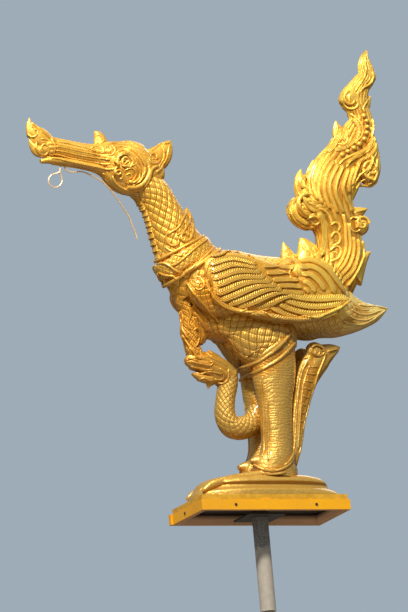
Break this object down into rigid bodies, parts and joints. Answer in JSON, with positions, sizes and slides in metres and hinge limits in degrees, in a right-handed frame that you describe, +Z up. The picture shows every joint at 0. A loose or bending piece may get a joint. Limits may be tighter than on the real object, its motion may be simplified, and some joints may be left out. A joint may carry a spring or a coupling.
{
  "type": "swan finial statue",
  "caption": "Gilded mythical swan with flame crest, folded wings, scrolled tail plume and a serpent at its breast, on a framed board at a pole's head.",
  "frame": {"origin": "centre of the pole's cut lower end", "axes": "+Z up along the pole, the swan faces -X, its left side faces -Y"},
  "size_m": [1.4593, 0.3136, 2.1564],
  "materials": {
    "gold_paint": "glossy metallic gold paint with brown dirt in the hollows",
    "yellow_paint": "satin yellow-orange paint",
    "cream_paint": "dull cream paint, worn off at the top to dark steel",
    "dark_steel": "dull dark steel",
    "wire": "dull gold-painted wire"
  },
  "bodies": {
    "root": {"swan": "gold_paint", "bell_hook": "wire", "board": "yellow_paint", "frame_front": "yellow_paint", "frame_back": "yellow_paint", "frame_left": "yellow_paint", "frame_right": "yellow_paint", "bolt_front_left": "dark_steel", "bolt_front_right": "dark_steel", "bolt_back_left": "dark_steel", "bolt_back_right": "dark_steel", "bolt_left": "dark_steel", "bolt_right": "dark_steel", "pole": "cream_paint", "pole_plate": "dark_steel"}
  },
  "joints": []
}
